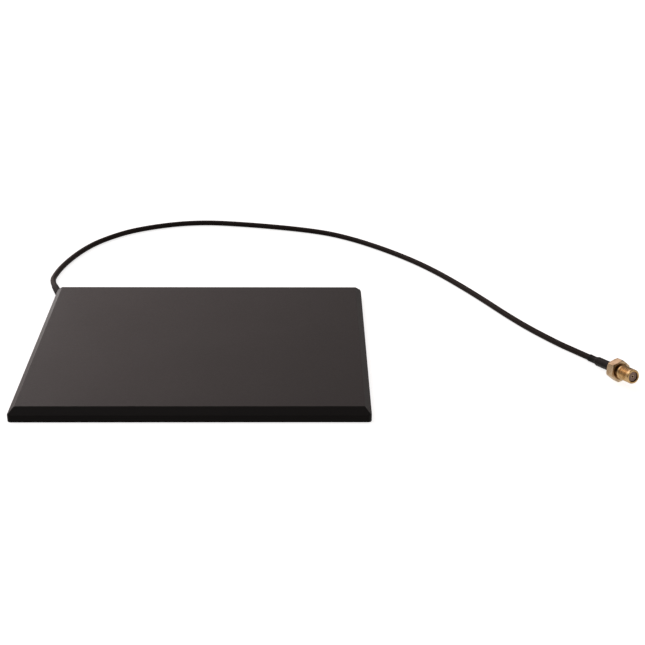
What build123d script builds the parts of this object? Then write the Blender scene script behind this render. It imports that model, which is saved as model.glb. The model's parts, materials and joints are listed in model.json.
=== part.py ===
from build123d import *

import os
from math import cos, pi, radians, sin, tan

# Flat panel antenna with a coax pigtail that ends in a crimped SMA jack.
# Millimetres, +Z up. The origin is the centre of the panel's underside.
# X runs along the panel's long side, and the cable leaves its back left corner.

# ---------------------------------------------------------------- driving dimensions
# Housing
panel_length = 150.0
panel_width = 120.0
panel_height = 6.0
bevel = 2.9
corner_radius = 1.6
crease_radius = 0.25
shoulder_radius = 0.6
shell = 1.2
base_thickness = 1.0
base_gap = 0.15

# Screws that join the base plate to the cover
screw_x = 64.0
screw_y = 53.5
boss_radius = 2.4
screw_radius = 1.0
screw_head_radius = 1.8
screw_sink = 0.1
screw_tip = 4.2
recess_length = 1.9
recess_width = 0.42
recess_depth = 0.45
screw_play = 0.1

# Adhesive strips on the underside
strip_x = 45.0
strip_width = 20.0
strip_length = 90.0
strip_recess = 0.6
liner_thickness = 0.1
strip_corner = 3.0

# Circuit board and its copper
board_length = 128.0
board_width = 96.0
board_thickness = 0.6
board_corner = 2.0
pin_x = 58.0
pin_y = 42.0
pin_radius = 1.25
pin_height = 1.4
copper = 0.1
pin_play = 0.1
gap_half = 1.0
arm_neck = 6.0
arm_flare = 22.0
arm_reach = 60.0
arm_half_width = 36.0
arm_corner = 4.0
slot_x = 42.0
slot_y = 16.0
slot_length = 26.0
slot_width = 3.0
tuning_length = 84.0
tuning_width = 4.0
tuning_y = 41.5
foam_clearance = 0.35
window_start = -64.0
window_end = 8.0
window_y = 4.0
window_width = 18.0

# Coaxial cable
cable_radius = 1.4
braid_radius = 1.15
core_radius = 0.75
wire_radius = 0.25
slip = 0.02
jacket_end = -14.0
braid_end = -7.0
core_end = -3.0
wire_end = 3.0
wire_bend = 0.8
wire_free = 0.8
wire_drop = 1.8
solder_length = 5.0
solder_width = 3.4
solder_slope = 12
solder_round = 0.3
solder_dome = 1.3
solder_dome_arc = 78
saddle_x = -26.0
saddle_width = 4.0
saddle_thickness = 0.2
saddle_span = 7.0

# Where the cable leaves the back left corner
exit_azimuth = 112.0
exit_height = 1.8
grommet_inside = 8.5
grommet_outside = 7.0
grommet_barrel = 4.0
pocket_floor = 0.3
pocket_x = -70.4
pocket_y = 43.0
pocket_length = 22.0
pocket_width = 6.0
grommet_radius = 1.75
grommet_tip_radius = 1.62
notch_play = 0.15
lead_run = 6.5
lead_lift = 0.03

# Free cable: corners of its route, from the grommet to the heat shrink
floor_line = 1.45
cable_route = [
    (-77.62, 66.49, exit_height),
    (-80.13, 72.7, exit_height),
    (-80.0, 80.6, 1.5),
    (-78.0, 93.0, floor_line),
    (-71.8, 111.1, floor_line),
    (-62.8, 126.0, floor_line),
    (-45.6, 141.4, floor_line),
    (-14.6, 151.9, floor_line),
    (18.0, 147.7, floor_line),
    (54.0, 138.8, floor_line),
    (72.7, 128.3, floor_line),
    (93.1, 110.8, floor_line),
    (111.5, 90.3, floor_line),
    (130.0, 61.5, floor_line),
    (148.5, 27.6, floor_line),
    (163.0, 7.3, floor_line),
    (169.65, -0.23, 1.43),
    (175.17, -7.34, 1.76),
]

# SMA jack, measured along its axis from the back face of the hexagon.
# It lies on a corner of the hexagon with its open end up in the air.
jack_azimuth = -67.0
jack_rise = 11.5
hex_apothem = 4.4
hex_length = 4.3
hex_roll = 16.8
hex_bevel_radius = 4.55
hex_bevel_length = 0.35
face_recess_radius = 3.6
face_recess_depth = 0.4
groove_radius = 2.3
groove_length = 1.1
thread_radius = 3.175
nose_radius = 2.95
nose_chamfer = 0.5
jack_length = 13.1
socket_radius = 2.3
socket_depth = 1.8
insulator_radius = 2.05
insulator_start = 2.0
insulator_setback = 0.6
contact_radius = 0.63
contact_hole_radius = 0.47
contact_hole_depth = 3.0
contact_slot = 0.16
contact_start = 0.8
crimp_tube_radius = 1.15
crimp_tube_length = 11.0
crimp_tube_root = 0.5
core_bore_radius = 0.78

# Ferrule and heat shrink behind the hexagon
ferrule_inner = 1.5
ferrule_outer = 1.78
ferrule_start = 12.0
ferrule_end = 0.4
sleeve_thin_radius = 1.68
sleeve_thick_radius = 2.08
sleeve_step_start = 13.4
sleeve_step_end = 12.5
sleeve_bend = 15.0
sleeve_tail = 3.25

# ---------------------------------------------------------------- derived places
inner_length = panel_length - 2 * shell
inner_width = panel_width - 2 * shell
inner_top = panel_height - shell
wall_top = panel_height - bevel
# keeps the shell as thick under the 45 degree bevel as it is elsewhere
inner_bevel = bevel - shell * (2 - 2 ** 0.5)
board_top = base_thickness + board_thickness
copper_top = board_top + copper
lead_height = copper_top + cable_radius + lead_lift
screw_places = [(x, y) for x in (-screw_x, screw_x) for y in (-screw_y, screw_y)]
pin_places = [(x, y) for x in (-pin_x, pin_x) for y in (-pin_y, pin_y)]

hex_corner_radius = hex_apothem / cos(radians(30))

up = Vector(0, 0, 1)
exit_way = Vector(cos(radians(exit_azimuth)), sin(radians(exit_azimuth)), 0)
exit_corner = Vector(-panel_length / 2, panel_width / 2, exit_height)
# Square to the cable where it leaves: x is sideways, y is up
exit_plane = Plane(origin=exit_corner, x_dir=up.cross(exit_way), z_dir=exit_way)
# On the underside below the exit: x runs outward along the cable
exit_floor = Plane(origin=(exit_corner.X, exit_corner.Y, 0), x_dir=exit_way, z_dir=up)
lead_start = exit_corner - exit_way * grommet_inside
lead_bend = lead_start - exit_way * lead_run
lead_route = [
    (lead_start.X, lead_start.Y, exit_height),
    (lead_bend.X, lead_bend.Y, exit_height),
    (-69.0, 34.0, 2.5),
    (-68.6, 20.0, lead_height),
    (-62.0, 5.0, lead_height),
    (-45.0, 0.0, lead_height),
    (jacket_end, 0.0, lead_height),
]

jack_way = Vector(
    cos(radians(jack_rise)) * cos(radians(jack_azimuth)),
    cos(radians(jack_rise)) * sin(radians(jack_azimuth)),
    sin(radians(jack_rise)),
)
jack_side = up.cross(jack_way).normalized()
jack_top = jack_way.cross(jack_side)
# The heat shrink starts in line with the cable's last run and bends into the jack's axis
sleeve_start = Vector(*cable_route[-1])
cable_end_way = (sleeve_start - Vector(*cable_route[-2])).normalized()
sleeve_corner = sleeve_start + cable_end_way * sleeve_tail
hex_back = sleeve_corner + jack_way * sleeve_bend
jack_axis = Axis(hex_back, jack_way)
sleeve_route = [sleeve_start, sleeve_corner, hex_back - jack_way * sleeve_step_start]
# Section through the jack's axis: x is the radius, y the distance forward of the hexagon's back
jack_section = Plane(origin=hex_back, x_dir=jack_top, z_dir=jack_side)


def jack_plane(distance):
    """Plane square to the jack's axis, that far forward of the hexagon's back face."""
    return Plane(origin=hex_back + jack_way * distance, x_dir=jack_side, z_dir=jack_way)


def corner_radii(points):
    """Arc radius for each inner corner: as large as its two runs allow."""
    radii = []
    for before, here, after in zip(points, points[1:], points[2:]):
        run_in = Vector(*here) - Vector(*before)
        run_out = Vector(*after) - Vector(*here)
        half_turn = radians(run_in.get_angle(run_out)) / 2
        radii.append(0.45 * min(run_in.length, run_out.length) / tan(half_turn))
    return radii


def start_plane(points):
    """Plane square to a route's first run, at its first point."""
    first, second = Vector(*points[0]), Vector(*points[1])
    return Plane(origin=first, z_dir=second - first)


def save(builder, name):
    """Label a finished part and write its STEP file."""
    builder.part.label = name
    export_step(builder.part, f"parts/{name}.step")


os.makedirs("parts", exist_ok=True)

# ---------------------------------------------------------------- housing
with BuildPart() as cavity:
    with BuildSketch():
        Rectangle(inner_length, inner_width)
    extrude(amount=inner_top)
    chamfer(faces().sort_by(Axis.Z)[-1].edges(), inner_bevel)

with BuildPart() as radome_cover:
    with BuildSketch():
        Rectangle(panel_length, panel_width)
    extrude(amount=panel_height)
    chamfer(faces().sort_by(Axis.Z)[-1].edges(), bevel)
    fillet(edges().filter_by(Axis.Z), corner_radius)
    fillet(edges().filter_by_position(Axis.Z, wall_top, wall_top), shoulder_radius)
    fillet(faces().sort_by(Axis.Z)[-1].edges(), crease_radius)
    add(cavity.part, mode=Mode.SUBTRACT)
    with BuildSketch(Plane.XY.offset(base_thickness)):
        with Locations(*screw_places):
            Circle(boss_radius)
    extrude(amount=inner_top - base_thickness)
    with BuildSketch(Plane.XY.offset(base_thickness)):
        with Locations(*screw_places):
            Circle(screw_radius + slip)
    extrude(amount=screw_tip - base_thickness + slip, mode=Mode.SUBTRACT)
    # U-shaped notch for the grommet, open at the rim
    with BuildSketch(exit_plane.offset(-grommet_inside)):
        Circle(grommet_radius)
        with Locations((0, -exit_height / 2)):
            Rectangle(2 * grommet_radius, exit_height)
    extrude(amount=grommet_inside + grommet_outside, mode=Mode.SUBTRACT)
save(radome_cover, "radome_cover")

with BuildPart() as base_plate:
    with BuildSketch():
        Rectangle(inner_length - 2 * base_gap, inner_width - 2 * base_gap)
    extrude(amount=base_thickness)
    with BuildSketch():
        with Locations((-strip_x, 0), (strip_x, 0)):
            RectangleRounded(strip_width, strip_length, strip_corner)
    extrude(amount=strip_recess, mode=Mode.SUBTRACT)
    with BuildSketch(Plane.XY.offset(base_thickness)):
        with Locations(*pin_places):
            Circle(pin_radius)
    extrude(amount=pin_height)
    # from below: a straight hole and a cone for each screw's head
    with BuildSketch():
        with Locations(*screw_places):
            Circle(screw_radius + screw_play)
    extrude(amount=base_thickness, mode=Mode.SUBTRACT)
    with BuildSketch():
        with Locations(*screw_places):
            Circle(screw_head_radius + screw_play)
    extrude(amount=screw_head_radius - screw_radius, taper=45, mode=Mode.SUBTRACT)
    # through notch under the grommet
    with BuildSketch(exit_floor):
        Rectangle(2 * (grommet_inside + slip), 2 * (grommet_radius + notch_play))
    extrude(amount=base_thickness, mode=Mode.SUBTRACT)
    # pocket, closed below, where the lead climbs to the board
    with BuildSketch(Plane.XY.offset(pocket_floor)):
        with Locations((pocket_x, pocket_y)):
            Rectangle(pocket_width, pocket_length)
    extrude(amount=base_thickness - pocket_floor, mode=Mode.SUBTRACT)
save(base_plate, "base_plate")

with BuildPart() as case_screws:
    with BuildSketch(Plane.XY.offset(screw_sink)):
        with Locations(*screw_places):
            Circle(screw_head_radius)
    extrude(amount=screw_head_radius - screw_radius, taper=45)
    with BuildSketch(Plane.XY.offset(screw_sink)):
        with Locations(*screw_places):
            Circle(screw_radius)
    extrude(amount=screw_tip - screw_sink)
    with BuildSketch(Plane.XY.offset(screw_sink)):
        with Locations(*screw_places):
            Rectangle(recess_length, recess_width)
            Rectangle(recess_width, recess_length)
    extrude(amount=recess_depth, mode=Mode.SUBTRACT)
save(case_screws, "case_screws")

# ---------------------------------------------------------------- adhesive strips
for side, strip_centre in (("left", -strip_x), ("right", strip_x)):
    with BuildPart() as adhesive_pad:
        with BuildSketch(Plane.XY.offset(liner_thickness)):
            with Locations((strip_centre, 0)):
                RectangleRounded(strip_width, strip_length, strip_corner)
        extrude(amount=strip_recess - liner_thickness)
    save(adhesive_pad, f"adhesive_pad_{side}")

    with BuildPart() as release_liner:
        with BuildSketch():
            with Locations((strip_centre, 0)):
                RectangleRounded(strip_width, strip_length, strip_corner)
        extrude(amount=liner_thickness)
    save(release_liner, f"release_liner_{side}")

# ---------------------------------------------------------------- circuit board and copper
with BuildPart() as antenna_board:
    with BuildSketch(Plane.XY.offset(base_thickness)):
        RectangleRounded(board_length, board_width, board_corner)
        with Locations(*pin_places):
            Circle(pin_radius + pin_play, mode=Mode.SUBTRACT)
    extrude(amount=board_thickness)
save(antenna_board, "antenna_board")

for side, way in (("left", -1), ("right", 1)):
    with BuildPart() as dipole_arm:
        with BuildSketch(Plane.XY.offset(board_top)):
            with BuildLine():
                Polyline(
                    (way * gap_half, -arm_neck),
                    (way * gap_half, arm_neck),
                    (way * arm_flare, arm_half_width),
                    (way * arm_reach, arm_half_width),
                    (way * arm_reach, -arm_half_width),
                    (way * arm_flare, -arm_half_width),
                    close=True,
                )
            make_face()
            fillet(vertices().group_by(Axis.X)[0 if way < 0 else -1], arm_corner)
            # slots that lengthen the current's path at the low band
            with Locations((way * slot_x, slot_y), (way * slot_x, -slot_y)):
                Rectangle(slot_length, slot_width, mode=Mode.SUBTRACT)
        extrude(amount=copper)
    save(dipole_arm, f"dipole_arm_{side}")

for side, way in (("front", -1), ("back", 1)):
    with BuildPart() as tuning_strip:
        with BuildSketch(Plane.XY.offset(board_top)):
            with Locations((0, way * tuning_y)):
                Rectangle(tuning_length, tuning_width)
        extrude(amount=copper)
    save(tuning_strip, f"tuning_strip_{side}")

with BuildPart() as foam_spacer:
    with BuildSketch(Plane.XY.offset(copper_top)):
        Rectangle(board_length, board_width)
        with Locations(*pin_places):
            Circle(pin_radius + foam_clearance, mode=Mode.SUBTRACT)
        # window for the lead, the saddle and the solder joints
        with Locations(((window_start + window_end) / 2, window_y)):
            Rectangle(window_end - window_start, window_width, mode=Mode.SUBTRACT)
    extrude(amount=inner_top - copper_top)
save(foam_spacer, "foam_spacer")

# ---------------------------------------------------------------- cable inside the housing
with BuildPart() as coax_inner_lead:
    with BuildLine() as lead_path:
        FilletPolyline(*lead_route, radius=corner_radii(lead_route))
    with BuildSketch(start_plane(lead_route)):
        Circle(cable_radius)
    sweep(path=lead_path.line)
save(coax_inner_lead, "coax_inner_lead")

# Stripped end of the lead, one layer inside the next, along +X
stripped = Plane(origin=(jacket_end, 0, lead_height), x_dir=(0, 1, 0), z_dir=(1, 0, 0))

with BuildPart() as coax_braid:
    with BuildSketch(stripped):
        Circle(braid_radius)
        Circle(core_radius + slip, mode=Mode.SUBTRACT)
    extrude(amount=braid_end - jacket_end)
save(coax_braid, "coax_braid")

with BuildPart() as coax_dielectric:
    with BuildSketch(stripped):
        Circle(core_radius)
        Circle(wire_radius + slip, mode=Mode.SUBTRACT)
    extrude(amount=core_end - jacket_end)
save(coax_dielectric, "coax_dielectric")

wire_route = [
    (jacket_end, 0, lead_height),
    (core_end + wire_free, 0, lead_height),
    (core_end + wire_free + wire_drop, 0, copper_top + wire_radius + slip),
    (wire_end, 0, copper_top + wire_radius + slip),
]
with BuildPart() as coax_center_wire:
    with BuildLine() as wire_path:
        FilletPolyline(*wire_route, radius=wire_bend)
    with BuildSketch(start_plane(wire_route)):
        Circle(wire_radius)
    sweep(path=wire_path.line)
save(coax_center_wire, "coax_center_wire")

with BuildPart() as solder_braid:
    with BuildSketch(Plane.XY.offset(copper_top)):
        with Locations(((jacket_end + braid_end) / 2, 0)):
            Rectangle(solder_length, solder_width)
    extrude(amount=lead_height - copper_top, taper=solder_slope)
    fillet(faces().sort_by(Axis.Z)[-1].edges().filter_by(Axis.X), solder_round)
    with BuildSketch(stripped):
        Circle(braid_radius + slip)
    extrude(amount=braid_end - jacket_end, mode=Mode.SUBTRACT)
save(solder_braid, "solder_braid")

with BuildPart() as solder_center:
    with BuildSketch(Plane.XZ.shift_origin((wire_end, 0, copper_top))):
        with BuildLine():
            dome = CenterArc((0, 0), solder_dome, 0, solder_dome_arc)
            Polyline(dome @ 1, (0, (dome @ 1).Y), (0, 0), (solder_dome, 0))
        make_face()
    revolve(axis=Axis((wire_end, 0, 0), (0, 0, 1)))
    add(coax_center_wire.part, mode=Mode.SUBTRACT)
save(solder_center, "solder_center")

with BuildPart() as cable_saddle:
    with BuildSketch(Plane(origin=(saddle_x, 0, lead_height), x_dir=(0, 1, 0), z_dir=(1, 0, 0))):
        Circle(cable_radius + slip + saddle_thickness)
        with Locations((0, copper_top - lead_height)):
            Rectangle(
                2 * (cable_radius + slip + saddle_thickness),
                lead_height - copper_top,
                align=(Align.CENTER, Align.MIN),
            )
            Rectangle(saddle_span, saddle_thickness, align=(Align.CENTER, Align.MIN))
        Circle(cable_radius + slip, mode=Mode.SUBTRACT)
        Rectangle(
            2 * (cable_radius + slip),
            2 * cable_radius,
            align=(Align.CENTER, Align.MAX),
            mode=Mode.SUBTRACT,
        )
    extrude(amount=saddle_width)
save(cable_saddle, "cable_saddle")

# ---------------------------------------------------------------- grommet and free cable
with BuildPart() as exit_grommet:
    with BuildSketch(exit_plane.offset(-grommet_inside)):
        Circle(grommet_radius - slip)
    extrude(amount=grommet_inside + grommet_barrel)
    with BuildSketch(exit_plane.offset(grommet_barrel)):
        Circle(grommet_radius - slip)
    with BuildSketch(exit_plane.offset(grommet_outside)):
        Circle(grommet_tip_radius)
    loft()
save(exit_grommet, "exit_grommet")

with BuildPart() as coax_cable:
    with BuildLine() as cable_path:
        FilletPolyline(*cable_route, radius=corner_radii(cable_route))
    with BuildSketch(start_plane(cable_route)):
        Circle(cable_radius)
    sweep(path=cable_path.line)
save(coax_cable, "coax_cable")

cable_length = sum(edge.length for edge in cable_path.edges())
print("cable arc radii:", [round(radius, 1) for radius in corner_radii(cable_route)])
print("lead arc radii:", [round(radius, 1) for radius in corner_radii(lead_route)])
print("cable length:", round(cable_length, 1))
print("sleeve arc radii:", [round(radius, 1) for radius in corner_radii(sleeve_route)])
swept_volume = pi * cable_radius ** 2 * cable_length
print("cable volume over section times length:", round(coax_cable.part.volume / swept_volume, 4))

# ---------------------------------------------------------------- connector
with BuildPart() as sma_body:
    # hexagon with its corners turned down at both ends
    with BuildSketch(jack_plane(0)):
        RegularPolygon(hex_apothem, 6, major_radius=False, rotation=hex_roll)
    extrude(amount=hex_length)
    with BuildSketch(jack_section):
        with BuildLine():
            Polyline(
                (0, 0),
                (hex_bevel_radius, 0),
                (hex_corner_radius, hex_bevel_length),
                (hex_corner_radius, hex_length - hex_bevel_length),
                (hex_bevel_radius, hex_length),
                (0, hex_length),
                close=True,
            )
        make_face()
    revolve(axis=jack_axis, mode=Mode.INTERSECT)
    # crimp tube behind the hexagon, undercut and barrel in front of it
    with BuildSketch(jack_section):
        with BuildLine():
            Polyline(
                (0, -crimp_tube_length),
                (crimp_tube_radius, -crimp_tube_length),
                (crimp_tube_radius, crimp_tube_root),
                (groove_radius, crimp_tube_root),
                (groove_radius, hex_length + groove_length),
                (thread_radius, hex_length + groove_length),
                (thread_radius, jack_length - nose_chamfer),
                (nose_radius, jack_length),
                (0, jack_length),
                close=True,
            )
        make_face()
    revolve(axis=jack_axis)
    # recess in the hexagon's front face, around the undercut
    with BuildSketch(jack_plane(hex_length)):
        Circle(face_recess_radius)
        Circle(groove_radius, mode=Mode.SUBTRACT)
    extrude(amount=-face_recess_depth, mode=Mode.SUBTRACT)
    # bore in three steps
    with BuildSketch(jack_section):
        with BuildLine():
            Polyline(
                (0, -crimp_tube_length),
                (core_bore_radius, -crimp_tube_length),
                (core_bore_radius, insulator_start),
                (insulator_radius, insulator_start),
                (insulator_radius, jack_length - socket_depth),
                (socket_radius, jack_length - socket_depth),
                (socket_radius, jack_length),
                (0, jack_length),
                close=True,
            )
        make_face()
    revolve(axis=jack_axis, mode=Mode.SUBTRACT)
save(sma_body, "sma_body")

insulator_front = jack_length - insulator_setback
with BuildPart() as sma_dielectric:
    with BuildSketch(jack_plane(insulator_start + slip)):
        Circle(insulator_radius - slip)
        Circle(contact_radius + slip, mode=Mode.SUBTRACT)
    extrude(amount=insulator_front - insulator_start - slip)
save(sma_dielectric, "sma_dielectric")

with BuildPart() as sma_contact:
    with BuildSketch(jack_plane(contact_start)):
        Circle(contact_radius)
    extrude(amount=insulator_front - contact_start)
    with BuildSketch(jack_plane(insulator_front)):
        Circle(contact_hole_radius)
    extrude(amount=-contact_hole_depth, mode=Mode.SUBTRACT)
    with BuildSketch(jack_plane(insulator_front)):
        Rectangle(2 * contact_radius, contact_slot)
        Rectangle(contact_slot, 2 * contact_radius)
    extrude(amount=-contact_hole_depth, mode=Mode.SUBTRACT)
save(sma_contact, "sma_contact")

# Cable end: the jacket stops short of the crimp tube and the core goes into it
crimp_end_route = [sleeve_start, sleeve_corner, hex_back - jack_way * ferrule_start]
with BuildPart() as coax_crimp_end:
    with BuildLine() as crimp_end_path:
        FilletPolyline(*crimp_end_route, radius=corner_radii(sleeve_route))
    with BuildSketch(start_plane(crimp_end_route)):
        Circle(cable_radius)
    sweep(path=crimp_end_path.line)
    with BuildSketch(jack_plane(-ferrule_start)):
        Circle(core_radius)
    extrude(amount=ferrule_start)
save(coax_crimp_end, "coax_crimp_end")

with BuildPart() as crimped_braid:
    with BuildSketch(jack_plane(-crimp_tube_length)):
        Circle(ferrule_inner - slip)
        Circle(crimp_tube_radius + slip, mode=Mode.SUBTRACT)
    extrude(amount=crimp_tube_length - ferrule_end)
save(crimped_braid, "crimped_braid")

with BuildPart() as crimp_ferrule:
    with BuildSketch(jack_plane(-ferrule_start)):
        Circle(ferrule_outer)
        Circle(ferrule_inner, mode=Mode.SUBTRACT)
    extrude(amount=ferrule_start - ferrule_end)
save(crimp_ferrule, "crimp_ferrule")

with BuildPart() as heat_shrink:
    # thin tail that follows the cable
    with BuildLine() as sleeve_path:
        FilletPolyline(*sleeve_route, radius=corner_radii(sleeve_route))
    with BuildSketch(start_plane(sleeve_route)):
        Circle(sleeve_thin_radius)
        Circle(cable_radius + slip, mode=Mode.SUBTRACT)
    sweep(path=sleeve_path.line)
    # thick part over the ferrule
    with BuildSketch(jack_section):
        with BuildLine():
            Polyline(
                (cable_radius + slip, -sleeve_step_start),
                (sleeve_thin_radius, -sleeve_step_start),
                (sleeve_thick_radius, -sleeve_step_end),
                (sleeve_thick_radius, 0),
                (ferrule_outer + slip, 0),
                (ferrule_outer + slip, -ferrule_start - slip),
                (cable_radius + slip, -ferrule_start - slip),
                close=True,
            )
        make_face()
    revolve(axis=jack_axis)
save(heat_shrink, "heat_shrink")
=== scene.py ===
import json
import math

import bpy
from mathutils import Matrix, Vector, noise


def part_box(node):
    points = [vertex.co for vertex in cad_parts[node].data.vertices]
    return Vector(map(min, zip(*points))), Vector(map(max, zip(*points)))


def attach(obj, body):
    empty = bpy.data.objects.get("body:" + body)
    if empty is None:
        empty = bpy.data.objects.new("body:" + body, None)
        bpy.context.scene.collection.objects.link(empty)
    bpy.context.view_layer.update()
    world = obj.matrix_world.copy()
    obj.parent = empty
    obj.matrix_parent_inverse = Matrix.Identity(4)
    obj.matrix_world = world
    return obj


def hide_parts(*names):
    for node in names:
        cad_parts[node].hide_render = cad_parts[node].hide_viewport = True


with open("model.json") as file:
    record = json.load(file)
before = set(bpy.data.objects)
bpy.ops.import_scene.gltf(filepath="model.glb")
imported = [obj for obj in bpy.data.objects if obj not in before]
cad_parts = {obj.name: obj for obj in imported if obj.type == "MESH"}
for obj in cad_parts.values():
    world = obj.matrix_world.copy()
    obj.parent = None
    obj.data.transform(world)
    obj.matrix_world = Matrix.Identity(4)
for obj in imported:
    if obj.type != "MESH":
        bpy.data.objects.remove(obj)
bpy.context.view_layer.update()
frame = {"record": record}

MM = 0.001


def placed(name, data):
    """A new object in the scene with the data given."""
    made = bpy.data.objects.new(name, data)
    bpy.context.scene.collection.objects.link(made)
    return made


# ---------------------------------------------------------------- camera
CAMERA_PLACE = (0.04781, -0.501, 0.27105)
CAMERA_YAW, CAMERA_PITCH, CAMERA_ROLL = (math.radians(a) for a in (0.844, 27.017, -0.415))
# the lens, in millimetres, on a sensor of this width
SENSOR_WIDTH = 36.0
LENS = 69.9516

camera_data = bpy.data.cameras.new("camera")
camera_data.sensor_width = SENSOR_WIDTH
camera_data.lens = LENS
camera_data.clip_start = 0.01
camera_data.clip_end = 200.0
camera = placed("camera", camera_data)
camera_turn = (
    Matrix.Rotation(-CAMERA_YAW, 3, "Z")
    @ Matrix.Rotation(math.pi / 2 - CAMERA_PITCH, 3, "X")
    @ Matrix.Rotation(-CAMERA_ROLL, 3, "Z")
)
camera.matrix_world = Matrix.Translation(CAMERA_PLACE) @ camera_turn.to_4x4()
bpy.context.scene.camera = camera

# ---------------------------------------------------------------- free cable
CABLE_RADIUS = 1.4 * MM
# corners of the cable's route, millimetres, as in the CAD part
CABLE_ROUTE = [
    (-77.62, 66.49, 1.8),
    (-80.13, 72.7, 1.8),
    (-80.0, 80.6, 1.5),
    (-78.0, 93.0, 1.45),
    (-71.8, 111.1, 1.45),
    (-62.8, 126.0, 1.45),
    (-45.6, 141.4, 1.45),
    (-14.6, 151.9, 1.45),
    (18.0, 147.7, 1.45),
    (54.0, 138.8, 1.45),
    (72.7, 128.3, 1.45),
    (93.1, 110.8, 1.45),
    (111.5, 90.3, 1.45),
    (130.0, 61.5, 1.45),
    (148.5, 27.6, 1.45),
    (163.0, 7.3, 1.45),
    (169.65, -0.23, 1.43),
    (175.17, -7.34, 1.76),
]

line_data = bpy.data.curves.new("cable_line", "CURVE")
line_data.dimensions = "3D"
line_data.bevel_resolution = 8
line_data.use_fill_caps = True
spline = line_data.splines.new("NURBS")
spline.points.add(len(CABLE_ROUTE) - 1)
for point, place in zip(spline.points, CABLE_ROUTE):
    point.co = (*[MM * value for value in place], 1.0)
spline.order_u = 3
spline.use_endpoint_u = True
spline.resolution_u = 24
line = placed("cable_line", line_data)


def line_mesh(bevel):
    """The cable's curve as a mesh: its centre line, or a tube around it."""
    line_data.bevel_depth = bevel
    depsgraph = bpy.context.evaluated_depsgraph_get()
    return bpy.data.meshes.new_from_object(line.evaluated_get(depsgraph))


cable_line = [vertex.co.copy() for vertex in line_mesh(0.0).vertices]
cable = placed("free_cable", line_mesh(CABLE_RADIUS))
bpy.data.objects.remove(line)
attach(cable, "root")
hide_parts("coax_cable")


# ---------------------------------------------------------------- node helpers
class Nodes:
    """A node tree with a few shorthands for making and joining its nodes."""

    def __init__(self, tree):
        self.tree = tree

    def link(self, output, socket):
        self.tree.links.new(output, socket)

    def node(self, kind, inputs=None, **settings):
        made = self.tree.nodes.new(kind)
        for key, value in settings.items():
            setattr(made, key, value)
        for key, value in (inputs or {}).items():
            if isinstance(value, bpy.types.NodeSocket):
                self.link(value, made.inputs[key])
            else:
                made.inputs[key].default_value = value
        return made

    def span(self, value, low, high, to_low, to_high, smooth=False):
        """The value moved from the range low to high into the range to_low to to_high."""
        made = self.node(
            "ShaderNodeMapRange",
            {
                "Value": value,
                "From Min": low,
                "From Max": high,
                "To Min": to_low,
                "To Max": to_high,
            },
            interpolation_type="SMOOTHSTEP" if smooth else "LINEAR",
        )
        return made.outputs["Result"]

    def combine(self, first, second, operation="ADD", clamp=False):
        made = self.node(
            "ShaderNodeMath", {0: first, 1: second}, operation=operation, use_clamp=clamp
        )
        return made.outputs["Value"]

    def mix(self, share, first, second):
        """A blend of two colours: the first at share 0, the second at share 1."""
        made = self.node("ShaderNodeMix", data_type="RGBA")
        for socket, value in ((0, share), (6, first), (7, second)):
            if isinstance(value, bpy.types.NodeSocket):
                self.link(value, made.inputs[socket])
            elif socket:
                made.inputs[socket].default_value = (*value, 1.0)
            else:
                made.inputs[socket].default_value = value
        return made.outputs[2]


class Shader(Nodes):
    """A principled material with shorthands for its procedural patterns."""

    def __init__(self, name, colour, roughness, metallic=0.0, specular=0.5):
        self.material = bpy.data.materials.new(name)
        self.material.use_nodes = True
        super().__init__(self.material.node_tree)
        self.bsdf = self.tree.nodes["Principled BSDF"]
        self.set("Base Color", (*colour, 1.0))
        self.set("Roughness", roughness)
        self.set("Metallic", metallic)
        self.set("Specular IOR Level", specular)
        self.place = self.node("ShaderNodeTexCoord").outputs["Object"]

    def set(self, socket, value):
        self.bsdf.inputs[socket].default_value = value

    def stretched(self, scale, turn=(0, 0, 0)):
        made = self.node(
            "ShaderNodeMapping", {"Vector": self.place, "Scale": scale, "Rotation": turn}
        )
        return made.outputs["Vector"]

    def noise(self, scale, detail=2.0, rough=0.5, place=None):
        made = self.node(
            "ShaderNodeTexNoise",
            {"Vector": place or self.place, "Scale": scale, "Detail": detail, "Roughness": rough},
        )
        return made.outputs["Fac"]

    def spread(self, noise_value, to_low, to_high):
        """Noise, most of which lies from 0.3 to 0.7, moved into the range to_low to to_high."""
        return self.span(noise_value, 0.3, 0.7, to_low, to_high)

    def peaks(self, value, low, high, amount, smooth=False):
        """A share that goes from 0 to the amount as the value goes from low to high."""
        return self.span(value, low, high, 0.0, amount, smooth)

    def cells(self, scale):
        made = self.node("ShaderNodeTexVoronoi", {"Vector": self.place, "Scale": scale})
        return made.outputs["Distance"]

    def waves(self, scale, place=None, **settings):
        inputs = {"Vector": place or self.place, "Scale": scale}
        return self.node("ShaderNodeTexWave", inputs, **settings)

    def colour(self, output):
        self.link(output, self.bsdf.inputs["Base Color"])

    def roughness(self, output):
        self.link(output, self.bsdf.inputs["Roughness"])

    def bump(self, height, distance):
        made = self.node(
            "ShaderNodeBump", {"Height": height, "Distance": distance, "Strength": 1.0}
        )
        self.link(made.outputs["Normal"], self.bsdf.inputs["Normal"])


def scaled(colour, share):
    """The colour made darker, or lighter with a share above 1."""
    return tuple(value * share for value in colour)


# ---------------------------------------------------------------- materials
# scales of the patterns are repeats per metre
GRAIN = 2600.0
PITS = GRAIN * 0.55
GRAIN_DEPTH = 0.014 * MM
PLASTIC_TINT = 0.16


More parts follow.
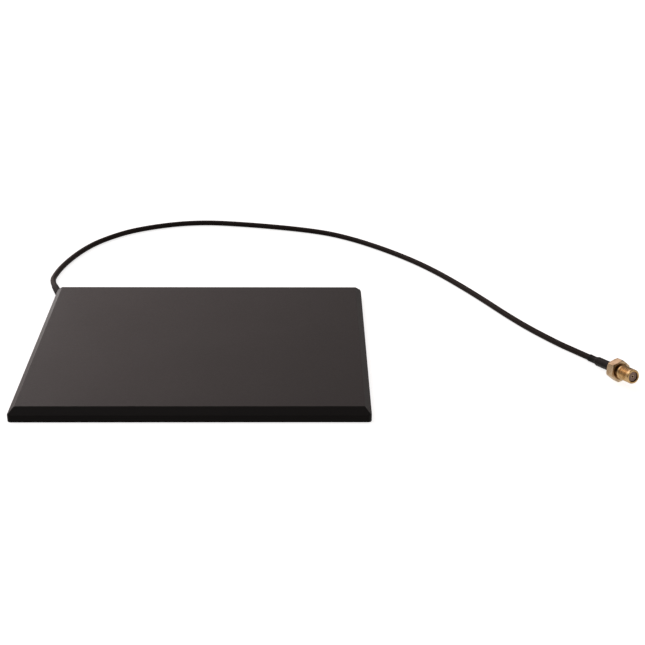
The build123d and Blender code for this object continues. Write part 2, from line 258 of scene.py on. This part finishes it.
def plastic(name, colour, roughness, specular):
    """Moulded plastic: spark-eroded grain, faint flow marks and handling marks in the gloss."""
    s = Shader(name, colour, roughness, specular=specular)
    fine = s.noise(GRAIN, detail=3.0, rough=0.6)
    pits = s.cells(PITS)
    broad = s.noise(30.0, detail=4.0, rough=0.55)
    mottle = s.noise(520.0, detail=3.0, rough=0.6)
    shade = s.combine(s.spread(broad, -0.18, 0.18), s.spread(mottle, -0.5, 0.5))
    shade = s.combine(shade, s.spread(fine, -0.7, 0.7))
    darker, lighter = scaled(colour, 1 - PLASTIC_TINT), scaled(colour, 1 + PLASTIC_TINT)
    s.colour(s.mix(s.span(shade, -1.2, 1.2, 0.0, 1.0), darker, lighter))
    gloss = s.combine(s.spread(broad, -0.012, 0.012), s.spread(fine, -0.05, 0.05))
    s.roughness(s.combine(gloss, roughness))
    s.bump(s.combine(fine, s.peaks(pits, 0.0, 0.6, 0.7)), GRAIN_DEPTH)
    return s


housing = plastic("housing_plastic", (0.0130, 0.0104, 0.0102), 0.5, 0.4)
base_side = plastic("base_plastic", (0.016, 0.0148, 0.0142), 0.55, 0.3)


SKIN_DEPTH = 0.012 * MM
RUBBER_TINT = 0.28
DUST = (0.06, 0.055, 0.05)


def rubber(name, colour, roughness, grain, specular):
    """Extruded or moulded soft plastic with a fine skin and dust."""
    s = Shader(name, colour, roughness, specular=specular)
    skin = s.noise(grain, detail=3.0, rough=0.55)
    patches = s.noise(160.0, detail=3.0, rough=0.6)
    dust = s.noise(5200.0, detail=2.0, rough=0.7)
    shade = s.combine(s.spread(patches, -0.6, 0.6), s.spread(skin, -0.4, 0.4))
    darker, lighter = scaled(colour, 1 - RUBBER_TINT), scaled(colour, 1 + RUBBER_TINT)
    clean = s.mix(s.span(shade, -1.0, 1.0, 0.0, 1.0), darker, lighter)
    s.colour(s.mix(s.peaks(dust, 0.68, 0.8, 0.12), clean, DUST))
    s.roughness(s.spread(patches, roughness - 0.06, roughness + 0.06))
    s.bump(skin, SKIN_DEPTH)
    return s


jacket = rubber("cable_jacket", (0.042, 0.0315, 0.0285), 0.42, 2600.0, 0.08)
shrink = rubber("heat_shrink_tube", (0.0075, 0.0060, 0.0058), 0.48, 1500.0, 0.15)
grommet_skin = rubber("grommet_rubber", (0.016, 0.012, 0.011), 0.5, 3000.0, 0.12)


BRUSH_MARKS = 2600.0
BRUSH_DEPTH = 0.004 * MM


def metal(name, colour, worn, roughness, brushed=(1.0, 1.0, 1.0), turn=(0, 0, 0)):
    """Plated or bare metal: machining marks along one direction, tarnish and small specks."""
    s = Shader(name, colour, roughness, metallic=1.0)
    marks = s.stretched(brushed, turn)
    lines = s.noise(BRUSH_MARKS, detail=3.0, rough=0.6, place=marks)
    stain = s.noise(420.0, detail=4.0, rough=0.6)
    specks = s.noise(6000.0, detail=2.0, rough=0.5)
    tarnish = s.peaks(stain, 0.42, 0.68, 0.75, smooth=True)
    share = s.combine(tarnish, s.peaks(lines, 0.45, 0.75, 0.35))
    share = s.combine(share, s.peaks(specks, 0.62, 0.72, 0.3), clamp=True)
    s.colour(s.mix(share, colour, worn))
    gloss = s.combine(s.spread(lines, -0.06, 0.08), s.span(stain, 0.4, 0.7, -0.03, 0.09))
    s.roughness(s.combine(gloss, roughness))
    s.bump(lines, BRUSH_DEPTH)
    return s


# the marks on the jack follow its axis, which is turned about the vertical
JACK_TURN = (0, 0, math.radians(67.0))
gold = metal(
    "gold_plate", (0.76, 0.52, 0.26), (0.52, 0.32, 0.13), 0.2, (1.0, 0.12, 1.0), JACK_TURN
)
hex_gold = metal(
    "gold_plate_hex", (0.70, 0.52, 0.33), (0.42, 0.29, 0.17), 0.3, (0.10, 1.0, 1.0), JACK_TURN
)
# a darker copy of the gold for the hexagon's recess and the groove: painted shade
shaded_groove_gold = metal("gold_plate_groove_painted_shade", (0.34, 0.19, 0.08), (0.10, 0.055, 0.03), 0.3)
contact_gold = metal("gold_contact", (0.76, 0.55, 0.36), (0.50, 0.35, 0.24), 0.26)
copper = metal("copper", (0.75, 0.36, 0.20), (0.42, 0.20, 0.12), 0.38, (1.0, 0.15, 1.0))
steel = metal("screw_steel", (0.075, 0.072, 0.070), (0.16, 0.15, 0.14), 0.36, (1.0, 1.0, 0.2))
saddle = metal("saddle_steel", (0.56, 0.55, 0.53), (0.40, 0.38, 0.36), 0.3, (1.0, 0.1, 1.0))
ferrule = metal("ferrule_brass", (0.62, 0.50, 0.30), (0.40, 0.30, 0.18), 0.34, (1.0, 0.12, 1.0))
silver = metal("silvered_wire", (0.72, 0.71, 0.68), (0.52, 0.50, 0.45), 0.25, (0.1, 1.0, 1.0))
solder = metal("solder", (0.62, 0.62, 0.60), (0.42, 0.42, 0.40), 0.3)


BRAID_WAVES = 900.0
BRAID_SLANT = 0.6
BRAID_WANDER = 0.4
BRAID_DEPTH = 0.03 * MM


def braid_material():
    """Tinned copper braid: two sets of slanted strands crossing each other."""
    s = Shader("tinned_braid", (0.55, 0.52, 0.48), 0.35, metallic=1.0)
    strands = []
    for slant in (BRAID_SLANT, -BRAID_SLANT):
        wave = s.waves(BRAID_WAVES, s.stretched((1.0, 1.0, 1.0), (slant, slant, slant)))
        wave.inputs["Distortion"].default_value = BRAID_WANDER
        strands.append(wave.outputs["Fac"])
    weave = s.combine(*strands, "MAXIMUM")
    s.colour(s.mix(s.span(weave, 0.2, 0.9, 1.0, 0.0), (0.62, 0.60, 0.56), (0.16, 0.13, 0.10)))
    s.roughness(s.spread(s.noise(1200.0), 0.28, 0.46))
    s.bump(weave, BRAID_DEPTH)
    return s


braid = braid_material()


SWARF = (0.10, 0.07, 0.06)
INSULATOR_DEPTH = 0.01 * MM


def insulator(name, colour, dark, roughness):
    """Turned fluoropolymer: waxy and clouded, with specks of swarf dust."""
    s = Shader(name, colour, roughness, specular=0.4)
    soft = s.noise(700.0, detail=3.0, rough=0.6)
    specks = s.noise(5000.0, detail=2.0, rough=0.6)
    base = s.mix(s.spread(soft, 0.0, 0.8), colour, dark)
    s.colour(s.mix(s.peaks(specks, 0.66, 0.76, 0.35), base, SWARF))
    s.roughness(s.spread(soft, roughness - 0.05, roughness + 0.1))
    s.bump(s.noise(2500.0, detail=3.0), INSULATOR_DEPTH)
    return s


jack_insulator = insulator("jack_insulator", (0.78, 0.54, 0.46), (0.58, 0.39, 0.32), 0.42)
white_core = insulator("white_dielectric", (0.72, 0.71, 0.68), (0.62, 0.60, 0.56), 0.4)


GLASS_WEAVE = 160.0
GLASS_DEPTH = 0.01 * MM


def laminate():
    """Green-black glass laminate under solder mask, with the glass weave telegraphing through."""
    s = Shader("board_laminate", (0.02, 0.07, 0.035), 0.35)
    threads = [s.waves(GLASS_WEAVE, bands_direction=way).outputs["Fac"] for way in ("X", "Y")]
    weave = s.combine(*threads, "MULTIPLY")
    blotch = s.noise(90.0, detail=3.0)
    share = s.combine(s.peaks(weave, 0.0, 1.0, 0.5), s.spread(blotch, 0.0, 0.5))
    s.colour(s.mix(share, (0.014, 0.055, 0.028), (0.03, 0.095, 0.05)))
    s.roughness(s.spread(blotch, 0.28, 0.42))
    s.bump(weave, GLASS_DEPTH)
    return s


board = laminate()


BUBBLE_SHARE = 0.3
FOAM_DEPTH = 0.08 * MM


def foam(name, colour, dark, density):
    """Closed-cell foam: packed cells with thin walls and a few larger bubbles."""
    s = Shader(name, colour, 0.9, specular=0.2)
    cells = s.cells(density)
    bubbles = s.cells(density * BUBBLE_SHARE)
    dips = s.span(bubbles, 0.0, 0.5, 0.3, 0.0)
    tone = s.combine(s.peaks(cells, 0.0, 0.6, 0.6), dips, clamp=True)
    s.colour(s.mix(tone, dark, colour))
    s.roughness(s.span(cells, 0.0, 0.6, 0.95, 0.8))
    s.bump(cells, FOAM_DEPTH)
    return s


pad_foam = foam("adhesive_foam", (0.52, 0.52, 0.50), (0.34, 0.34, 0.32), 2400.0)
spacer_foam = foam("spacer_foam", (0.15, 0.15, 0.16), (0.07, 0.07, 0.075), 1100.0)


FILM_DEPTH = 0.03 * MM


def film():
    """Red release film on the tape: slightly cockled, with fine drawing lines and rub marks."""
    s = Shader("liner_film", (0.50, 0.075, 0.055), 0.36, specular=0.45)
    lines = s.noise(900.0, detail=5.0, rough=0.7, place=s.stretched((1.0, 0.25, 1.0)))
    cockle = s.noise(70.0, detail=3.0, rough=0.5)
    share = s.combine(s.spread(lines, 0.0, 0.7), s.spread(cockle, 0.0, 0.3))
    s.colour(s.mix(share, (0.54, 0.085, 0.060), (0.40, 0.055, 0.040)))
    s.roughness(s.spread(cockle, 0.28, 0.46))
    s.bump(s.combine(s.peaks(cockle, 0.0, 1.0, 4.0), lines), FILM_DEPTH)
    return s


liner = film()

NODE_FINISH = {
    "radome_cover": housing,
    "base_plate": base_side,
    "case_screws": steel,
    "adhesive_pad_left": pad_foam,
    "adhesive_pad_right": pad_foam,
    "release_liner_left": liner,
    "release_liner_right": liner,
    "antenna_board": board,
    "dipole_arm_left": copper,
    "dipole_arm_right": copper,
    "tuning_strip_front": copper,
    "tuning_strip_back": copper,
    "foam_spacer": spacer_foam,
    "coax_inner_lead": jacket,
    "coax_braid": braid,
    "coax_dielectric": white_core,
    "coax_center_wire": silver,
    "solder_braid": solder,
    "solder_center": solder,
    "cable_saddle": saddle,
    "crimp_ferrule": ferrule,
    "crimped_braid": braid,
    "coax_crimp_end": jacket,
    "sma_dielectric": jack_insulator,
    "sma_contact": contact_gold,
}
for name, finish in NODE_FINISH.items():
    data = bpy.data.objects[name].data
    if not data.materials:
        data.materials.append(finish.material)
    for index in range(len(data.materials)):
        data.materials[index] = finish.material
cable.data.materials.clear()
cable.data.materials.append(jacket.material)

# ---------------------------------------------------------------- turned pieces
UP = Vector((0, 0, 1))


def turned(name, axis, rows, segments, finishes, hollow=True):
    """Closed mesh about an axis, a function that gives the place and the way at a distance.
    Each row is (distance along the axis, radius or a function of angle and distance, index of
    its finish). A hollow piece's last row meets its first, and a full one's ends are capped."""
    points, faces, tags = [], [], []
    for along, radius, _ in rows:
        centre, way = axis(along)
        side = UP.cross(way).normalized()
        top = way.cross(side)
        for step in range(segments):
            angle = 2 * math.pi * step / segments
            reach = radius(angle, along) if callable(radius) else radius
            points.append(centre + (side * math.cos(angle) + top * math.sin(angle)) * reach)
    for row in range(len(rows) - 1):
        for step in range(segments):
            after = (step + 1) % segments
            faces.append(
                (
                    row * segments + step,
                    row * segments + after,
                    (row + 1) * segments + after,
                    (row + 1) * segments + step,
                )
            )
            tags.append(rows[row + 1][2])
    last = (len(rows) - 1) * segments
    if hollow:
        for step in range(segments):
            after = (step + 1) % segments
            faces.append((last + step, last + after, after, step))
            tags.append(rows[0][2])
    else:
        faces.append(tuple(range(segments - 1, -1, -1)))
        faces.append(tuple(range(last, last + segments)))
        tags += [rows[0][2], rows[-1][2]]
    mesh = bpy.data.meshes.new(name)
    mesh.from_pydata([tuple(spot) for spot in points], [], faces)
    for finish in finishes:
        mesh.materials.append(finish.material)
    mesh.polygons.foreach_set("material_index", tags)
    mesh.update()
    piece = placed(name, mesh)
    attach(piece, "root")
    return piece


def straight(origin, way):
    """A straight axis for turned()."""
    return lambda along: (origin + way * along, way)


def soften(piece, crease):
    """Smooth shading that keeps edges sharper than the crease angle, in degrees."""
    mesh = piece.data
    mesh.shade_smooth()
    mesh.set_sharp_from_angle(angle=math.radians(crease))


def clamped(value):
    return min(1.0, max(0.0, value))


def smoothly(value):
    value = clamped(value)
    return value * value * (3 - 2 * value)


# ---------------------------------------------------------------- SMA jack
# distances along the axis are from the back face of the hexagon; the mount is the thread's middle
BARREL_MIDDLE = 9.0 * MM
mount = next(m for m in frame["record"]["mounts"] if m["name"] == "sma_jack")
JACK_WAY = Vector(mount["axis"]).normalized()
HEX_BACK = Vector(mount["pos_m"]) - JACK_WAY * BARREL_MIDDLE

# the hexagon, with a round recess in its front face, and the groove in front of it; recess and
# groove get a darker gold, which is painted shade
HEX_APOTHEM = 4.4 * MM
HEX_LENGTH = 4.3 * MM
HEX_ROLL = math.radians(16.8)
HEX_CORNER_RADIUS = 5.0 * MM
HEX_BEVEL_RADIUS = 4.55 * MM
HEX_BEVEL_LENGTH = 0.35 * MM
RECESS_RADIUS = 3.6 * MM
RECESS_DEPTH = 0.4 * MM
GROOVE_RADIUS = 2.3 * MM
GROOVE_END = 5.4 * MM
# the threaded barrel and its nose
THREAD_RADIUS = 3.175 * MM
THREAD_ROOT = 2.76 * MM
THREAD_PITCH = 0.7056 * MM
# shares of half a pitch: the flat root, then the flank, and the rest is the flat crest
ROOT_SHARE = 0.18
FLANK_SHARE = 0.52
ROWS_PER_TURN = 14
RUN_OUT = 0.5 * MM
RUN_IN = 0.35 * MM
SHOULDER_END = 6.2 * MM
THREAD_END = 11.9 * MM
NOSE_START = 12.6 * MM
NOSE_RADIUS = 2.95 * MM
JACK_LENGTH = 13.1 * MM
# the socket in the nose, the seat of the insulator behind it, and the crimp tube at the back
SOCKET_RADIUS = 2.3 * MM
SOCKET_FLOOR = 11.3 * MM
SEAT_RADIUS = 2.05 * MM
SEAT_START = 2.0 * MM
TUBE_RADIUS = 1.15 * MM
TUBE_START = -11.0 * MM
TUBE_BORE = 0.78 * MM
# broken edges, the groove's fillet, and the curve from the groove up to the thread
TUBE_BREAK = 0.08 * MM
RECESS_BREAK = 0.06 * MM
SHOULDER_BREAK = 0.12 * MM
NOSE_BREAK = 0.06 * MM
NOSE_SLOPE = 0.04 * MM
SOCKET_BREAK = 0.1 * MM
GROOVE_FILLET = 0.15 * MM
GROOVE_CURVE, GROOVE_RISE = 0.03 * MM, 0.08 * MM
# where the tube's finish gives way to the hexagon's
SEAM = 0.01 * MM
HEX_BEVEL_STEPS = 8
JACK_SEGMENTS = 150
# the jack's finishes, by their index; the third is the darker gold, painted shade in the recess
# and groove
BRIGHT, HEXED, PAINTED_SHADE = range(3)


def hexagon(angle, along):
    """Radius of the hexagon's outline, its corners turned off, its ends bevelled by a cone."""
    sector = math.pi / 3
    within = ((angle - HEX_ROLL) % sector) - sector / 2
    flat = HEX_APOTHEM / math.cos(within)
    edge = min(along, HEX_LENGTH - along)
    rise = min(1.0, edge / HEX_BEVEL_LENGTH)
    return min(flat, HEX_BEVEL_RADIUS + (HEX_CORNER_RADIUS - HEX_BEVEL_RADIUS) * rise)


def thread(angle, along):
    """Radius of the external thread, running in at the nose and out at the shoulder."""
    turn_share = (along / THREAD_PITCH - angle / (2 * math.pi)) % 1.0
    from_root = abs(turn_share - 0.5) * 2
    height = clamped((from_root - ROOT_SHARE) / FLANK_SHARE)
    full = THREAD_ROOT + (THREAD_RADIUS - THREAD_ROOT) * height
    depth = smoothly((along - SHOULDER_END) / RUN_OUT) * smoothly((THREAD_END - along) / RUN_IN)
    return THREAD_RADIUS + (full - THREAD_RADIUS) * depth


def jack_rows():
    """The outline from the crimp tube's back end over the outside to the socket and the bore."""
    recess_floor = HEX_LENGTH - RECESS_DEPTH
    rows = [
        (TUBE_START, TUBE_BORE, BRIGHT),
        (TUBE_START, TUBE_RADIUS - TUBE_BREAK, BRIGHT),
        (TUBE_START + TUBE_BREAK, TUBE_RADIUS, BRIGHT),
        (-SEAM, TUBE_RADIUS, BRIGHT),
        (0.0, TUBE_RADIUS, HEXED),
        (0.0, RECESS_RADIUS, HEXED),
    ]
    bevel = [HEX_BEVEL_LENGTH * step / HEX_BEVEL_STEPS for step in range(HEX_BEVEL_STEPS + 1)]
    rows += [(along, hexagon, HEXED) for along in bevel]
    rows += [(HEX_LENGTH - along, hexagon, HEXED) for along in reversed(bevel)]
    rows += [
        (HEX_LENGTH, RECESS_RADIUS + RECESS_BREAK, HEXED),
        (HEX_LENGTH - RECESS_BREAK, RECESS_RADIUS, HEXED),
        (recess_floor, RECESS_RADIUS, PAINTED_SHADE),
        (recess_floor, GROOVE_RADIUS + GROOVE_FILLET, PAINTED_SHADE),
        (recess_floor + GROOVE_FILLET, GROOVE_RADIUS, PAINTED_SHADE),
        (GROOVE_END - SHOULDER_BREAK, GROOVE_RADIUS, PAINTED_SHADE),
        (GROOVE_END - GROOVE_CURVE, GROOVE_RADIUS + GROOVE_RISE, BRIGHT),
        (GROOVE_END, THREAD_RADIUS - SHOULDER_BREAK, BRIGHT),
        (GROOVE_END + SHOULDER_BREAK, THREAD_RADIUS, BRIGHT),
    ]
    threaded = THREAD_END - SHOULDER_END
    steps = round(threaded / THREAD_PITCH * ROWS_PER_TURN)
    rows += [
        (SHOULDER_END + threaded * step / steps, thread, BRIGHT) for step in range(steps + 1)
    ]
    rows += [
        (NOSE_START, THREAD_RADIUS, BRIGHT),
        (JACK_LENGTH - NOSE_BREAK, NOSE_RADIUS + NOSE_SLOPE, BRIGHT),
        (JACK_LENGTH, NOSE_RADIUS - NOSE_BREAK, BRIGHT),
        (JACK_LENGTH, SOCKET_RADIUS + SOCKET_BREAK, BRIGHT),
        (JACK_LENGTH - SOCKET_BREAK, SOCKET_RADIUS, BRIGHT),
        (SOCKET_FLOOR, SOCKET_RADIUS, BRIGHT),
        (SOCKET_FLOOR, SEAT_RADIUS, BRIGHT),
        (SEAT_START, SEAT_RADIUS, BRIGHT),
        (SEAT_START, TUBE_BORE, BRIGHT),
    ]
    return rows


jack = turned(
    "jack_body",
    straight(HEX_BACK, JACK_WAY),
    jack_rows(),
    JACK_SEGMENTS,
    [gold, hex_gold, shaded_groove_gold],
)
soften(jack, crease=28)
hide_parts("sma_body")

# ---------------------------------------------------------------- heat shrink
FERRULE_OUTER = 1.8 * MM
FERRULE_START = 12.02 * MM
SLEEVE_INNER = 1.42 * MM
SLEEVE_MOUTH = 1.5 * MM
SLEEVE_SEGMENTS = 64
# behind the straight part, a tail bends towards the cable's last run
TAIL_START = 13.4 * MM
TAIL_CORNER_BEHIND = 15.0 * MM
TAIL_CORNER = HEX_BACK - JACK_WAY * TAIL_CORNER_BEHIND
TAIL_END = Vector([MM * value for value in CABLE_ROUTE[-1]])
TAIL_LENGTH = 4.8 * MM
TAIL_STEPS = 9
SLEEVE_LENGTH = TAIL_START + TAIL_LENGTH
# the shrunk surface: slow waves, fine ripples, and the crimp, which goes in at a hexagon's flats
# and out at its corners, where the outline is more than CRIMP_EVEN of the flats' distance
WAVE_DEPTH = 0.035 * MM
RIPPLE_DEPTH = 0.012 * MM
WAVES_ROUND = 1.6
WAVES_PER_MM = 0.55
RIPPLE_SCALE = 3.4
NOISE_START = Vector((3.1, 7.7, 1.3))
SHRUNK_SHARE = 0.985
CRIMP_EVEN = 1.09
CRIMP_SHARE = 0.55


def sleeve_axis(along):
    """Straight behind the hexagon, then a smooth bend into the cable."""
    if along > -TAIL_START:
        return HEX_BACK + JACK_WAY * along, JACK_WAY
    share = (-along - TAIL_START) / TAIL_LENGTH
    first = HEX_BACK - JACK_WAY * TAIL_START
    near = first.lerp(TAIL_CORNER, share)
    far = TAIL_CORNER.lerp(TAIL_END, share)
    return near.lerp(far, share), (near - far).normalized()


def shrunk(radius, hexed):
    """Radius of the shrunk tube: slight waves, and the ferrule's crimped flats showing through."""

    def at(angle, along):
        across = (math.cos(angle) * WAVES_ROUND, math.sin(angle) * WAVES_ROUND)
        spot = Vector((*across, along / MM * WAVES_PER_MM))
        wave = noise.noise(spot + NOISE_START) * WAVE_DEPTH
        ripple = noise.noise(spot * RIPPLE_SCALE) * RIPPLE_DEPTH
        within = (angle % (math.pi / 3)) - math.pi / 6
        flats = (1 / math.cos(within) - CRIMP_EVEN) * CRIMP_SHARE * hexed * radius
        return min(radius, radius * SHRUNK_SHARE + wave + ripple + flats)

    return at


# distance behind the hexagon and radius, in millimetres, and how far the crimped flats show
SLEEVE_PROFILE = [
    (18.12, 1.58, 0.0),
    (18.0, 1.64, 0.0),
    (17.8, 1.68, 0.0),
    (17.3, 1.67, 0.0),
    (16.7, 1.66, 0.0),
    (16.1, 1.67, 0.0),
    (15.5, 1.66, 0.0),
    (14.9, 1.67, 0.0),
    (14.3, 1.67, 0.0),
    (13.8, 1.68, 0.0),
    (13.45, 1.69, 0.0),
    (13.2, 1.74, 0.1),
    (13.0, 1.84, 0.2),
    (12.8, 1.96, 0.4),
    (12.6, 2.04, 0.6),
    (12.4, 2.08, 0.7),
    (12.0, 2.08, 0.8),
    (11.2, 2.07, 1.0),
    (10.2, 2.06, 1.0),
    (9.2, 2.065, 1.0),
    (8.2, 2.07, 1.0),
    (7.2, 2.065, 1.0),
    (6.2, 2.06, 1.0),
    (5.2, 2.065, 1.0),
    (4.2, 2.07, 1.0),
    (3.2, 2.06, 1.0),
    (2.4, 2.065, 0.9),
    (1.6, 2.05, 0.7),
    (1.0, 2.06, 0.5),
    (0.6, 2.065, 0.3),
    (0.3, 2.06, 0.1),
    (0.12, 2.03, 0.0),
    (0.02, 1.96, 0.0),
]


def sleeve_rows():
    """The outside from the tail's end to the hexagon, then back along the bore."""
    rows = [(-SLEEVE_LENGTH, SLEEVE_INNER, 0), (-SLEEVE_LENGTH, SLEEVE_MOUTH, 0)]
    for behind, radius, hexed in SLEEVE_PROFILE:
        rows.append((-behind * MM, shrunk(radius * MM, hexed), 0))
    rows.append((-SLEEVE_PROFILE[-1][0] * MM, FERRULE_OUTER, 0))
    rows.append((-FERRULE_START, FERRULE_OUTER, 0))
    rows.append((-FERRULE_START, SLEEVE_INNER, 0))
    for step in range(TAIL_STEPS):
        rows.append((-TAIL_START - TAIL_LENGTH * step / TAIL_STEPS, SLEEVE_INNER, 0))
    return rows


sleeve = turned(
    "shrink_sleeve", sleeve_axis, sleeve_rows(), SLEEVE_SEGMENTS, [shrink]
)
soften(sleeve, crease=40)
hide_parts("heat_shrink")

# ---------------------------------------------------------------- exit grommet
EXIT_AZIMUTH = math.radians(112.0)
EXIT_WAY = Vector((math.cos(EXIT_AZIMUTH), math.sin(EXIT_AZIMUTH), 0))
cover_low, cover_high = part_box("radome_cover")
EXIT_CORNER = Vector((cover_low[0], cover_high[1], CABLE_ROUTE[0][2] * MM))
# distance outwards from the panel's corner and radius, in millimetres
GROMMET_PROFILE = [
    (-8.5, 1.67),
    (-8.42, 1.73),
    (0.4, 1.73),
    (1.6, 1.73),
    (2.8, 1.725),
    (4.0, 1.715),
    (5.0, 1.685),
    (6.0, 1.655),
    (6.5, 1.64),
    (6.75, 1.61),
    (6.92, 1.56),
    (7.0, 1.48),
]
GROMMET_SEGMENTS = 48
grommet = turned(
    "exit_collar",
    straight(EXIT_CORNER, EXIT_WAY),
    [(along * MM, radius * MM, 0) for along, radius in GROMMET_PROFILE],
    GROMMET_SEGMENTS,
    [grommet_skin],
    hollow=False,
)
soften(grommet, crease=40)
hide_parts("exit_grommet")

# ---------------------------------------------------------------- floor and backdrop
FLOOR_SIZE = 6.0
FLOOR_DROP = 0.03 * MM
CARD_LOW, CARD_HIGH = (0.13, -0.35), (0.45, 0.03)
CARD_DROP = 0.02 * MM


def glowing(name, colour, roughness, light, strength):
    """A matt material that shines by itself and isn't sampled as a lamp."""
    s = Shader(name, colour, roughness, specular=0.0)
    s.set("Emission Color", (*light, 1.0))
    s.set("Emission Strength", strength)
    s.material.cycles.emission_sampling = "NONE"
    return s


def backdrop(name, points, faces, finish, unseen):
    """A piece of the set, left out of the kinds of ray named in unseen."""
    mesh = bpy.data.meshes.new(name)
    mesh.from_pydata(points, [], faces)
    mesh.materials.append(finish.material)
    piece = placed(name, mesh)
    for kind in unseen:
        setattr(piece, "visible_" + kind, False)
    return piece


def sheet(name, low, high, drop, finish, unseen):
    """A flat rectangle between two corners, a little below the object."""
    (left, front), (right, back) = low, high
    corners = [(left, front, 0), (right, front, 0), (right, back, 0), (left, back, 0)]
    piece = backdrop(name, corners, [(0, 1, 2, 3)], finish, unseen)
    piece.location.z = -drop
    return piece


# a light table: the paper glows, so shadows on it are faint, and the object doesn't reflect it
paper = glowing("floor_paper", (0.9, 0.9, 0.9), 0.9, light=(1.0, 1.0, 1.0), strength=0.80)
floor = sheet(
    "floor",
    (-FLOOR_SIZE, -FLOOR_SIZE),
    (FLOOR_SIZE, FLOOR_SIZE),
    FLOOR_DROP,
    paper,
    unseen=("diffuse", "glossy"),
)

# the part of the table that the jack's metal mirrors: seen only in reflections
glow = glowing("table_glow", (0.0, 0.0, 0.0), 1.0, light=(1.0, 0.95, 0.90), strength=0.7)
card = sheet(
    "table_card", CARD_LOW, CARD_HIGH, CARD_DROP, glow, unseen=("camera", "diffuse", "shadow")
)

# a pale surround behind everything that only the camera sees
pale = glowing("surround_glow", (0.0, 0.0, 0.0), 1.0, light=(1.0, 1.0, 1.0), strength=1.0)
ENDS = (-FLOOR_SIZE, FLOOR_SIZE)
surround = backdrop(
    "surround",
    [(x, y, z) for x in ENDS for y in ENDS for z in ENDS],
    [(0, 1, 3, 2), (4, 6, 7, 5), (0, 4, 5, 1), (2, 3, 7, 6), (0, 2, 6, 4), (1, 5, 7, 3)],
    pale,
    unseen=("diffuse", "glossy", "transmission", "volume_scatter", "shadow"),
)

# ---------------------------------------------------------------- light
bpy.context.scene.view_settings.view_transform = "Standard"
# The room's light by direction, from straight away from the window, 0, to straight at it, 1: a
# bright window low behind the object, a little to the left, a dimmer ring around it, a second
# bright band about 60 degrees off, and a dark front
WINDOW_WAY = Vector((-0.46, 0.82, 0.34)).normalized()
WINDOW = [
    (0.0, (0.13, 0.122, 0.118)),
    (0.60, (0.10, 0.097, 0.094)),
    (0.76, (0.66, 0.60, 0.58)),
    (0.88, (0.30, 0.265, 0.258)),
    (0.94, (0.62, 0.53, 0.52)),
    (0.985, (1.60, 1.36, 1.33)),
]
# below the horizon the pale table comes in, from one height to the other and from front to back
TABLE = (0.80, 0.75, 0.73)
TABLE_DOWN = (-0.1, -0.5)
TABLE_BACK = (-0.5, 0.6)

world = bpy.data.worlds.new("studio")
bpy.context.scene.world = world
world.use_nodes = True
room = Nodes(world.node_tree)
direction = room.node("ShaderNodeTexCoord").outputs["Generated"]
split = room.node("ShaderNodeSeparateXYZ", {0: direction})
facing = room.node(
    "ShaderNodeVectorMath", {0: direction, 1: WINDOW_WAY}, operation="DOT_PRODUCT"
).outputs["Value"]
ramp = room.node("ShaderNodeValToRGB", {"Fac": room.span(facing, -1.0, 1.0, 0.0, 1.0)})
stops = ramp.color_ramp.elements
while len(stops) < len(WINDOW):
    stops.new(0.5)
for stop, (share, colour) in zip(stops, WINDOW):
    stop.position = share
    stop.color = (*colour, 1.0)
table_share = room.combine(
    room.span(split.outputs["Z"], *TABLE_DOWN, 0.0, 1.0),
    room.span(split.outputs["Y"], *TABLE_BACK, 0.0, 1.0),
    "MULTIPLY",
)
background = world.node_tree.nodes["Background"]
room.link(room.mix(table_share, ramp.outputs["Color"], TABLE), background.inputs["Color"])


def softbox(name, place, aim, size, watts):
    """A rectangular lamp at a place, turned to the aim, that the camera doesn't see."""
    data = bpy.data.lights.new(name, "AREA")
    data.shape = "RECTANGLE"
    data.size, data.size_y = size
    data.energy = watts
    lamp = placed(name, data)
    lamp.location = place
    lamp.rotation_euler = (Vector(aim) - Vector(place)).to_track_quat("-Z", "Y").to_euler()
    lamp.visible_camera = False
    return lamp


softbox("top_light", place=(-1.1, 0.5, 1.2), aim=(0.0, 0.0, 0.0), size=(1.0, 1.0), watts=4.0)
softbox("side_light", place=(1.0, -0.7, 0.06), aim=(0.19, -0.03, 0.0), size=(1.0, 0.5), watts=1.0)
# lifts the panel's back left edge, and reaches only the cover
edge_light = softbox(
    "edge_light",
    place=(-0.16, 0.19, 0.022),
    aim=(-0.075, 0.06, 0.005),
    size=(0.10, 0.03),
    watts=0.045,
)
edge_lit = bpy.data.collections.new("edge_lit")
edge_lit.objects.link(bpy.data.objects["radome_cover"])
edge_light.light_linking.receiver_collection = edge_lit
